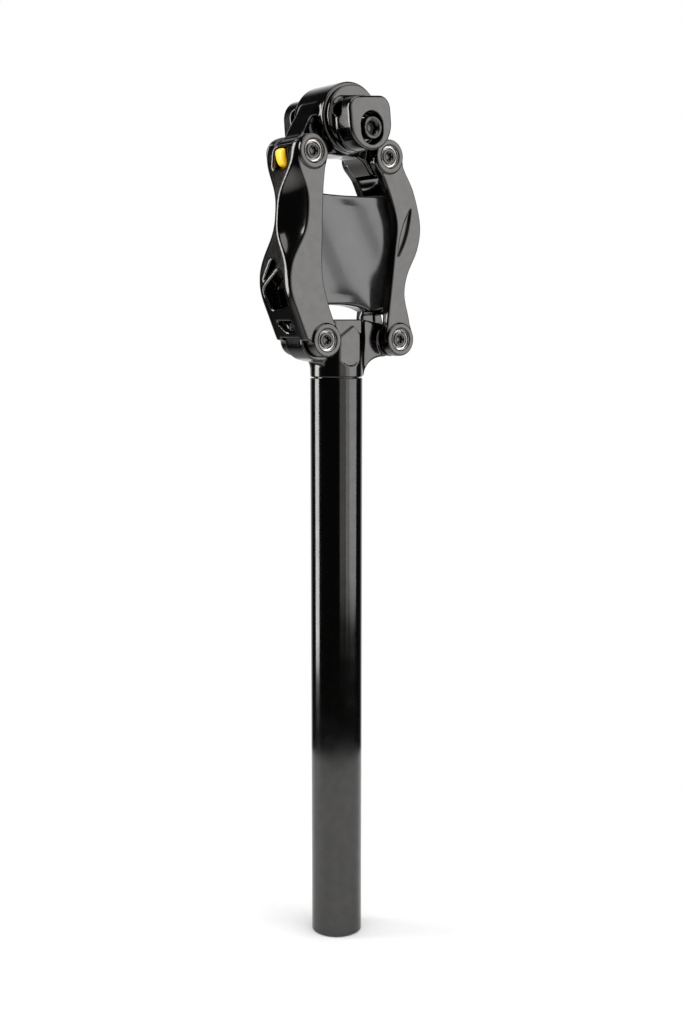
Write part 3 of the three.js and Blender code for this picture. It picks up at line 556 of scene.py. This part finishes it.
for node, build, origin in (("rear_link", rear_link, LOWER_REAR), ("front_link", front_link, LOWER_FRONT)):
    points, quads = build()
    add_piece(node, tilted(points, origin, LINK_LEAN), quads)


# ---- lower yoke ----
YOKE_REAR_BARREL, YOKE_FRONT_BARREL = 12.2, 10.2
YOKE_ARM_HALF, YOKE_FLAT, YOKE_FACET, YOKE_CUP = 8.2, 12.2, 14.2, 10.3
YOKE_SEAT_GAP = 0.3


def yoke_neck(g, radius, seat, top):
    """The round collar on the post; above its sloping shoulders it is cut flat on both sides."""
    across = np.abs(g.y)
    below = 300
    shoulders = polygon(g.x, g.z, [
        (-40, below), (40, below), (40, top - 44), (17, top - 17), (3, top - 4), (-17, top - 17),
        (-40, top - 44),
    ])
    neck = both(np.hypot(g.x, g.y) - radius, slab(g.z, seat, top), r=0.5)
    neck = both(neck, either(across - YOKE_FLAT, shoulders, r=0.8), r=1.0)
    facet_foot = seat + 7.0 + 3.6 * (g.x / 6.9) ** 2
    return less(neck, both(YOKE_FACET - across, facet_foot - g.z, r=0.4), r=0.3)


def yoke_arm(rear, front, radius, seat, top):
    """The side outline from the rear pivot over the post to the front pivot."""
    rear_low, front_low = rear[1] - YOKE_REAR_BARREL, front[1] - YOKE_FRONT_BARREL
    rear_foot, front_foot = (rear[0], rear_low), (radius - 1, seat + 1)
    return [
        rear_foot, *bend(rear_foot, (1.2 - radius, rear_low - 0.2), (3.4 - radius, seat + 5)),
        front_foot, *bend(front_foot, (radius + 2, front_low), (front[0] - 4, front_low - 0.2)),
        front, on_arc(front, YOKE_FRONT_BARREL, 118), (14, top), (rear[0] + 8, top), rear,
    ]


def yoke():
    tube_high = box("post_tube")[1]
    low, high = box("lower_yoke")
    radius, seat, top = tube_high[0], tube_high[2] + YOKE_SEAT_GAP, high[2]
    rear, front = tuple(LOWER_REAR), tuple(LOWER_FRONT)
    g = Grid((low[0], -radius, seat), (high[0], radius, top), FORGING_CELL)
    across = np.abs(g.y)
    body = both(polygon(g.x, g.z, yoke_arm(rear, front, radius, seat, top)), across - YOKE_ARM_HALF, r=1.5)
    for centre, size in ((rear, YOKE_REAR_BARREL), (front, YOKE_FRONT_BARREL)):
        barrel = both(disc(g.x, g.z, centre, size), across - BARREL_HALF, r=0.6)
        body = either(body, barrel, r=1.5)
    body = either(body, yoke_neck(g, radius, seat, top), r=2.0)
    body = both(body, slab(g.z, seat, top), r=0.6)
    for centre in (rear, front):
        around = disc(g.x, g.z, centre, EAR_ROOM_RADIUS)
        body = less(body, both(around, BARREL_HALF - across), r=0.4)
        body = less(body, disc(g.x, g.z, centre, BUSHING_SEAT_RADIUS), r=0.3)
    hollow = both(np.hypot(g.x, g.y) - YOKE_CUP, g.z - seat - 4)
    return surface(less(body, hollow), g)


add_piece("lower_yoke", *yoke())


def standing(profile, segments=160):
    """A ring about the post's axis."""
    points, faces = turned(profile, segments)
    return points[:, [0, 2, 1]], faces


def tube():
    high = box("post_tube")[1]
    outer, end, ease, wall = high[0], high[2], 0.35, 2.2
    inner = outer - wall
    profile = [(inner, ease), (inner + ease, 0), (outer - ease, 0), (outer, ease)]
    profile += [(outer, z) for z in np.linspace(ease, end - ease, 30)[1:-1]]
    profile += [(outer, end - ease), (outer - ease, end), (inner + ease, end), (inner, end - ease)]
    return standing(profile)


def spigot():
    """The yoke's hollow stub, which reaches down into the tube from inside the collar."""
    tube_high = box("post_tube")[1]
    low = box("lower_yoke")[0][2]
    outer, top, wall = tube_high[0] - 2.5, tube_high[2] + 2, 3
    return standing([
        (outer - wall, low + 0.3), (outer - wall + 0.3, low), (outer - 0.5, low), (outer, low + 0.5),
        (outer, top), (outer - wall, top),
    ])


add_piece("post_tube", *tube(), crease=40)
add_piece("lower_yoke", *spigot(), crease=40, part="_spigot")


# ---- head ----
HEAD_REAR_BARREL, HEAD_FRONT_BARREL, CROSS_BARREL, CROSS_BORE = 9, 11.6, 20, 15.2
# The rear line of the arm, from the cross barrel's axis.
HEAD_BACK = [(-28.7, -7.2), (-26.0, -2.6), (-22.8, 1.8), (-18.8, 5.8)]


def head_arm(rear, front, cross):
    """The side outline of the arm that joins the two pivots and the cross barrel."""
    under = cross[1] - 20.4
    rear_foot, front_foot = on_arc(rear, HEAD_REAR_BARREL, -60), on_arc(front, HEAD_FRONT_BARREL, 235)
    middle = (cross[0] - 8, under)
    return [
        on_arc(rear, HEAD_REAR_BARREL, 110), *[(cross[0] + x, cross[1] + z) for x, z in HEAD_BACK],
        cross, on_arc(cross, CROSS_BARREL - 0.3, 30), on_arc(front, HEAD_FRONT_BARREL, 50),
        front, front_foot, *bend(front_foot, (front[0] - 14, under), (cross[0] + 4, under)),
        middle, *bend(middle, (rear[0] + 12, under - 1), rear_foot), rear,
    ]


def head():
    low, high = box("head")
    rear, front, cross = tuple(UPPER_REAR), tuple(UPPER_FRONT), tuple(CLAMP_AXIS)
    half = high[1]
    g = Grid((low[0], -half, low[2]), high, FORGING_CELL)
    across = np.abs(g.y)
    flat = polygon(g.x, g.z, head_arm(rear, front, cross))
    sheet = both(flat, across - BARREL_HALF, r=1.6)
    body = less(sheet, both(flat + 1.3, 4.6 - across, r=4.0), r=0.5)
    for centre, size in ((rear, HEAD_REAR_BARREL), (front, HEAD_FRONT_BARREL)):
        body = either(body, both(disc(g.x, g.z, centre, size), across - BARREL_HALF, r=0.6), r=2.5)
    barrel = both(disc(g.x, g.z, cross, CROSS_BARREL), across - half, r=1.1)
    body = either(body, barrel, r=4.0)
    body = less(body, disc(g.x, g.z, cross, CROSS_BORE), r=0.4)
    for centre in (rear, front):
        body = less(body, disc(g.x, g.z, centre, BUSHING_SEAT_RADIUS), r=0.3)
    return surface(body, g)


add_piece("head", *head())


# ---- saddle clamp, in a frame on the cross barrel's axis ----
RAIL_OUT, RAIL_UP, CHANNEL_RADIUS, CHANNEL_STRAIGHT = 22.0, 4.0, 3.3, 1
BOLT_DROP, BOLT_HOLE_RADIUS = 7.7, 4.3
CLAMP_FACE, JAW_GAP = 34.9, 0.15
RECESS_FLOOR, RECESS_RADIUS = CLAMP_FACE - 9.3, 7.6
BARREL_END, FLANGE_RADIUS, HUB_RADIUS = 15.3, 18, 14.9
JAW_HALF, JAW_DROP = 14.7, 20.0


def jaw_outline(top, corner):
    """The jaw from the front: a round foot and two corners at that height above the axis."""
    foot = arc((0, JAW_HALF - JAW_DROP), JAW_HALF, 0, -180)
    left = arc((corner - JAW_HALF, top - corner), corner, 180, 90, 12)
    return [*foot, *left, *arc((JAW_HALF - corner, top - corner), corner, 90, 0, 12)]


JAWS = {"right": jaw_outline(10.0, 7.0), "left": jaw_outline(14.3, 10.6)}


def rail_channel(g):
    lift = np.maximum(np.abs(g.z - RAIL_UP) - CHANNEL_STRAIGHT, 0)
    return np.hypot(np.abs(g.y) - RAIL_OUT, lift) - CHANNEL_RADIUS


def bolt_hole(g):
    return disc(g.x, g.z, (0, -BOLT_DROP), BOLT_HOLE_RADIUS)


def inner_clamp(outline):
    """The hub in the cross barrel, its flange and the inner half of the jaws."""
    g = Grid((-FLANGE_RADIUS, 6, -20.5), (FLANGE_RADIUS, RAIL_OUT, FLANGE_RADIUS), CLAMP_CELL)
    radius = np.hypot(g.x, g.z)
    jaw = both(polygon(g.x, g.z, outline), slab(g.y, BARREL_END, RAIL_OUT - JAW_GAP), r=0.7)
    plate = both(radius - FLANGE_RADIUS, slab(g.y, BARREL_END, BARREL_END + 2.6), r=0.7)
    hub = both(radius - HUB_RADIUS, slab(g.y, BARREL_END - 9, BARREL_END + 1), r=0.5)
    body = either(either(jaw, plate, r=2.8), hub)
    body = less(body, rail_channel(g), r=0.5)
    return surface(less(body, bolt_hole(g), r=0.3), g)


def outer_clamp(outline):
    """The outer half of the jaws, with a slightly domed face and a recess for the bolt or nut."""
    g = Grid((-15, RAIL_OUT, -20.5), (15, CLAMP_FACE, 14.8), CLAMP_CELL)
    jaw = both(polygon(g.x, g.z, outline), RAIL_OUT + JAW_GAP - g.y, r=0.5)
    dome = CLAMP_FACE - (g.x ** 2 + (g.z + 3) ** 2) / 260
    jaw = both(jaw, g.y - dome, r=1.4)
    rise = np.maximum(np.abs(g.z + BOLT_DROP) - 1.5, 0)
    recess = both(np.hypot(g.x, rise) - RECESS_RADIUS, RECESS_FLOOR - g.y, r=0.6)
    body = less(jaw, recess, r=0.7)
    body = less(body, rail_channel(g), r=0.6)
    return surface(less(body, bolt_hole(g), r=0.3), g)


def mirrored(points, faces, side):
    if side > 0:
        return points, faces
    return points * np.array([1, -1, 1]), np.asarray(faces)[:, ::-1]


HANDS = (("right", -1), ("left", 1))
for node, build in (("inner_clamp", inner_clamp), ("outer_clamp", outer_clamp)):
    for hand, side in HANDS:
        points, quads = mirrored(*build(JAWS[hand]), side)
        add_piece(f"{node}_{hand}", tilted(points, CLAMP_AXIS, CLAMP_TILT), quads)


# ---- clamp bolt, washer and nut, built about the bolt's axis ----
SEAT_GAP, WASHER_THICK, CAP_TALL, NUT_TALL = 0.3, 1.5, 8, 8
BOLT_RADIUS, CAP_RADIUS, SEAT_RADIUS, NUT_BORE_RADIUS = 4, 6.2, 6.6, 4.15
SOCKET_REACH, SOCKET_DEPTH = 3.5, 4.5


def on_bolt_axis(points):
    return tilted(points + np.array([0, 0, -BOLT_DROP]), CLAMP_AXIS, CLAMP_TILT)


def six_sided(u, v, reach):
    """A hexagon with its corners at that distance, one of them on the u axis."""
    flat = reach * math.cos(math.pi / 6)
    u, v = np.abs(u), np.abs(v)
    return np.maximum(v, u * math.cos(math.pi / 6) + v * 0.5) - flat


def clamp_bolt():
    """A cap screw whose head has a groove, a raised lip and a bevelled hexagon socket."""
    seat = RECESS_FLOOR + SEAT_GAP + WASHER_THICK + SEAT_GAP
    top, tip = seat + CAP_TALL, RECESS_FLOOR + SEAT_GAP + 7
    lip_inner, lip_outer, groove_outer = 3.4, 4.7, 5.5
    g = Grid((-CAP_RADIUS, -tip, -CAP_RADIUS), (CAP_RADIUS, top, CAP_RADIUS), SMALL_CELL)
    radius = np.hypot(g.x, g.z)
    shank = both(radius - BOLT_RADIUS, slab(g.y, -tip, seat + 1), r=0.5)
    cap = both(radius - CAP_RADIUS, slab(g.y, seat, top), r=0.8)
    groove = both(slab(radius, lip_outer, groove_outer), top - 0.35 - g.y, r=0.2)
    body = either(shank, less(cap, groove, r=0.2), r=0.3)
    body = either(body, both(slab(radius, lip_inner, lip_outer), slab(g.y, seat, top)))
    # The last factor brings a slanted field back to about the true distance.
    bevel = (radius - 4.4 + (top - g.y) * 0.9) * 0.74
    body = less(body, both(bevel, top - 1.2 - g.y))
    socket = both(six_sided(g.x, g.z, SOCKET_REACH), top - SOCKET_DEPTH - g.y)
    return surface(less(body, socket, r=0.15), g)


def eased_ring(inner, outer, low, high, ease=0.25):
    """The section of a plain ring with its four corners eased."""
    return [
        (inner, low + ease), (inner + ease, low), (outer - ease, low), (outer, low + ease),
        (outer, high - ease), (outer - ease, high), (inner + ease, high), (inner, high - ease),
    ]


def clamp_ring(node, profile, side):
    points, faces = turned([(radius, side * out) for radius, out in profile])
    add_piece(node, on_bolt_axis(points), faces, crease=35)


points, quads = mirrored(*clamp_bolt(), -1)
add_piece("clamp_bolt", on_bolt_axis(points), quads)
seat = RECESS_FLOOR + SEAT_GAP
clamp_ring("clamp_bolt_washer", eased_ring(BOLT_HOLE_RADIUS, SEAT_RADIUS, seat, seat + WASHER_THICK), -1)
clamp_ring("clamp_nut", eased_ring(NUT_BORE_RADIUS, SEAT_RADIUS, seat, seat + NUT_TALL, 0.6), 1)


# ---- pivot hardware, as sections of radius and distance out from the middle ----
AXLE_RADIUS, AXLE_BORE_RADIUS, SMALL_GAP = 5.0, 3.15, 0.15
# The cupped washer, out from its seat: a thin rim, a dish and a raised ring round the bolt.
WASHER_SECTION = [
    (AXLE_BORE_RADIUS, 0), (6.25, 0), (6.4, 0.15), (6.4, 2.05), (6.25, 2.2), (6.12, 2.15), (5.95, 0.75),
    (5.35, 0.6), (5.1, 1.4), (4.95, 1.5), (4.8, 1.35), (4.65, 0.8), (AXLE_BORE_RADIUS, 0.8),
]


def axle_profile():
    end = COUNTERBORE_FLOOR - SMALL_GAP
    return eased_ring(AXLE_BORE_RADIUS, AXLE_RADIUS, -end, end, 0.3)


def bushing_profile():
    """A sleeve in the barrel with a flange between the barrel and the ear."""
    bore, sleeve, flange, ease = AXLE_HOLE_RADIUS, 6.55, 8.3, 0.15
    start, shoulder, end = 1.6, BARREL_HALF + SMALL_GAP, EAR_INNER - SMALL_GAP
    return [
        (bore, start), (sleeve, start), (sleeve, shoulder), (flange - 0.2, shoulder),
        (flange, shoulder + ease), (flange, end - ease), (flange - 0.2, end),
        (bore + ease, end), (bore, end - ease),
    ]


def washer_profile():
    seat = COUNTERBORE_FLOOR + SMALL_GAP
    return [(radius, seat + out) for radius, out in WASHER_SECTION]


def axle_bolt():
    """A flat-headed bolt with a countersunk six-lobed socket."""
    shank_radius, head_radius, shank = 3, 4.5, 9
    seat = COUNTERBORE_FLOOR + 1.1
    top = seat + 0.8
    g = Grid((-head_radius, seat - shank, -head_radius), (head_radius, top, head_radius), TINY_CELL)
    radius, angle = np.hypot(g.x, g.z), np.arctan2(g.z, g.x)
    body = both(radius - shank_radius, slab(g.y, seat - shank, seat + 0.3), r=0.3)
    body = either(body, both(radius - head_radius, slab(g.y, seat, top), r=0.3))
    # The last factors bring slanted and lobed fields back to about the true distance.
    countersink = (radius - 3.1 + (top - g.y)) * 0.7
    body = less(body, both(countersink, top - 0.5 - g.y))
    lobes = (radius - 2.15 - 0.3 * np.cos(6 * angle)) * 0.8
    return surface(less(body, both(lobes, top - 2.4 - g.y), r=0.12), g)


bolt_shape = axle_bolt()
PIVOTS = {
    "lower_rear": LOWER_REAR, "lower_front": LOWER_FRONT,
    "upper_rear": UPPER_REAR, "upper_front": UPPER_FRONT,
}
for name, centre in PIVOTS.items():
    points, faces = turned(axle_profile())
    add_piece(f"{name}_axle", moved(points, centre), faces, crease=35)
    for hand, side in HANDS:
        for kind, profile in (("bushing", bushing_profile()), ("axle_washer", washer_profile())):
            points, faces = turned([(radius, side * out) for radius, out in profile])
            add_piece(f"{name}_{kind}_{hand}", moved(points, centre), faces, crease=35)
        points, quads = mirrored(*bolt_shape, side)
        add_piece(f"{name}_axle_bolt_{hand}", moved(points, centre), quads)


# ---- elastomer and bumper ----
# The rubber's front, in the front link's frame, before its gap to that link's web.
RUBBER_FRONT = [(16.9, 85.5), (19.8, 76), (20.9, 67), (17.2, 52.3), (8.6, 38), (5.4, 26), (5.4, 19)]
RUBBER_FRONT_GAP, RUBBER_REAR_GAP = 6.2, 0.3
WAVE_HEIGHT, WAVE_RATE, WAVE_SLANT, WAVE_FADE = 0.8, 0.17, 0.55, 6
CROWN_DEPTH, CROWN_FRONT, CROWN_FOOT = 2.2, 18, 16


def in_link(origin, point):
    x, z = point
    c, s = math.cos(LINK_LEAN), math.sin(LINK_LEAN)
    return (origin[0] + x * c - z * s, origin[1] + x * s + z * c)


def on_rear_web(inner, height):
    """A point just in front of the rear link's web, at that height along the link."""
    return in_link(LOWER_REAR, (inner + RUBBER_REAR_GAP, height))


def elastomer():
    """The rubber block between the links, with a wavy crowned face on each side."""
    front = [in_link(LOWER_FRONT, (x - RUBBER_FRONT_GAP, z)) for x, z in RUBBER_FRONT]
    high, waist = on_rear_web(REAR_WAIST_INNER, 86.5), on_rear_web(REAR_WAIST_INNER, 68)
    middle, foot = on_rear_web(REAR_INNER, 59), on_rear_web(REAR_INNER, 20)
    lip = (19.5, LOWER_REAR[1] + 16.6)
    outline = [
        high, *bend(high, (2, high[1] - 4), front[0]), *curve(front[1:-1]), front[-1], lip,
        *bend(lip, (8, LOWER_REAR[1] + 23), foot), middle, waist,
    ]
    block_low, block_high = box("elastomer")
    g = Grid(block_low, block_high, FORGING_CELL)
    flat = polygon(g.x, g.z, outline)
    wave = WAVE_HEIGHT * np.sin(WAVE_RATE * (g.x + WAVE_SLANT * g.z)) - WAVE_HEIGHT
    ahead = np.interp(g.z, [z for _, z in reversed(front)], [x for x, _ in reversed(front)]) - g.x
    above = g.z - np.interp(g.x, [foot[0], 8, lip[0]], [foot[1], LOWER_REAR[1] + 20.5, lip[1]])
    near_edges = np.clip(1 - ahead / CROWN_FRONT, 0, 1) ** 2 + np.clip(1 - above / CROWN_FOOT, 0, 1) ** 2
    half = block_high[1] + wave * np.clip(-flat / WAVE_FADE, 0, 1) - CROWN_DEPTH * near_edges
    return surface(both(flat, np.abs(g.y) - half, r=1.6), g)


rubber = add_piece("elastomer", *elastomer())
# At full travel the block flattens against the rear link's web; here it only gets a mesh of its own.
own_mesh(rubber)


def bumper():
    """A crowned yellow pad round the head's rear barrel, in the rear link's window."""
    low, high = LINK_LENGTH - 8.0, LINK_LENGTH + 3.0
    middle, half, inner, outer, bow = 1.1, 4.8, 9.3, 12.6, 0.035
    g = Grid((-14, -7, low - 1), (-7, 7, high + 1), SMALL_CELL)
    radius = np.hypot(g.x, g.z - LINK_LENGTH)
    crown = outer - bow * g.y ** 2
    pad = both(both(inner - radius, radius - crown), np.abs(g.y - middle) - half, r=1.8)
    pad = both(pad, slab(g.z, low, high), r=2.2)
    return surface(both(pad, g.x), g)


points, quads = bumper()
add_piece("top_out_bumper", tilted(points, LOWER_REAR, LINK_LEAN), quads)


# ---- floor, lights and camera; places here are in metres ----
CAMERA_PLACE, CAMERA_YAW, CAMERA_PITCH = (-0.4911, -0.6891, 0.3875), 0.6229, 0.1609
SENSOR_WIDTH, LENS, SHIFT_UP = 36, 48.98, 0.030
FLOOR_RADIUS, FLOOR_LEVEL = 380, -0.5
LIGHTS_AIM = np.array([0.0, 0.0, 0.36])


def floor_disc(rings=8, segments=96):
    """A flat disc just under the post's foot, in millimetres."""
    points, faces = [], []
    for i in range(rings + 1):
        reach = FLOOR_RADIUS * i / rings
        for k in range(segments):
            angle = 2 * math.pi * k / segments
            points.append((reach * math.cos(angle), reach * math.sin(angle), FLOOR_LEVEL))
    for i in range(rings):
        for k in range(segments):
            here, on = i * segments + k, i * segments + (k + 1) % segments
            faces.append((here, here + segments, on + segments, on))
    return points, faces


floor_finish = finish(
    "pale_floor", grey(0.66), grey(0.70), roughness=0.7, spread=0.05, metallic=0.0, grain=40, bump=2e-5)
merged(make_object("floor", *floor_disc(), floor_finish))


def softbox(name, yaw, elevation, distance, size, radiance):
    """A soft area light aimed at the linkage; yaw is in degrees to the right of the camera's side."""
    width, height = size
    turn = math.atan2(-math.cos(CAMERA_YAW), -math.sin(CAMERA_YAW)) + math.radians(yaw)
    rise = math.radians(elevation)
    out = np.array([math.cos(turn) * math.cos(rise), math.sin(turn) * math.cos(rise), math.sin(rise)])
    lamp = bpy.data.lights.new(name, "AREA")
    lamp.shape = "RECTANGLE"
    lamp.size, lamp.size_y = width, height
    lamp.energy = radiance * math.pi * width * height
    holder = bpy.data.objects.new(name, lamp)
    holder.location = LIGHTS_AIM + out * distance
    holder.rotation_euler = Vector(-out).to_track_quat("-Z", "Y").to_euler()
    holder.visible_camera = False
    bpy.context.scene.collection.objects.link(holder)


softbox("left_box", yaw=-94.5, elevation=10, distance=2.6, size=(1.10, 2.76), radiance=7.0)
softbox("right_box", yaw=79, elevation=10.5, distance=2.2, size=(1.65, 2.15), radiance=2.7)
softbox("right_fill", yaw=50, elevation=10.5, distance=2.4, size=(0.70, 2.3), radiance=1.6)
softbox("right_edge", yaw=28, elevation=10.5, distance=2.4, size=(1.10, 2.3), radiance=0.7)
softbox("top_box", yaw=20, elevation=78, distance=1.6, size=(1.6, 1.6), radiance=2.0)


def greater(tree, first, second):
    node = tree.nodes.new("ShaderNodeMath")
    node.operation = "MAXIMUM"
    tree.links.new(first, node.inputs[0])
    tree.links.new(second, node.inputs[1])
    return node.outputs[0]


def studio_world():
    """White to the eye and for diffuse light; reflections see a dark room with one bright wall."""
    world = bpy.data.worlds.new("studio")
    world.use_nodes = True
    tree = world.node_tree
    place = tree.nodes.new("ShaderNodeTexCoord").outputs["Generated"]
    facing = tree.nodes.new("ShaderNodeVectorMath")
    facing.operation = "DOT_PRODUCT"
    facing.inputs[1].default_value = (math.sin(CAMERA_YAW), math.cos(CAMERA_YAW), 0)
    tree.links.new(place, facing.inputs[0])
    wall = map_range(tree, facing.outputs["Value"], start=0.70, end=0.92, low=0.025, high=1.0)
    # Steep downward reflections see the pale ground round the post.
    depth = tree.nodes.new("ShaderNodeSeparateXYZ")
    tree.links.new(place, depth.inputs[0])
    ground = map_range(tree, depth.outputs["Z"], start=-0.38, end=-0.70, low=0.0, high=1.0)
    ray = tree.nodes.new("ShaderNodeLightPath")
    choose = tree.nodes.new("ShaderNodeMix")
    choose.data_type = "FLOAT"
    factor, reflected, white = choose.inputs[0], choose.inputs[2], choose.inputs[3]
    white.default_value = 1.0
    tree.links.new(greater(tree, ray.outputs["Is Camera Ray"], ray.outputs["Is Diffuse Ray"]), factor)
    tree.links.new(greater(tree, wall, ground), reflected)
    background = tree.nodes["Background"]
    background.inputs["Color"].default_value = (1, 1, 1, 1)
    tree.links.new(choose.outputs[0], background.inputs["Strength"])
    return world


def studio_camera():
    camera = bpy.data.objects.new("camera", bpy.data.cameras.new("camera"))
    camera.location = CAMERA_PLACE
    camera.rotation_euler = (math.pi / 2 - CAMERA_PITCH, 0, -CAMERA_YAW)
    camera.data.sensor_width = SENSOR_WIDTH
    camera.data.lens = LENS
    camera.data.shift_y = SHIFT_UP
    bpy.context.scene.collection.objects.link(camera)
    return camera


bpy.context.scene.world = studio_world()
bpy.context.scene.camera = studio_camera()
bpy.context.scene.view_settings.view_transform = "Standard"
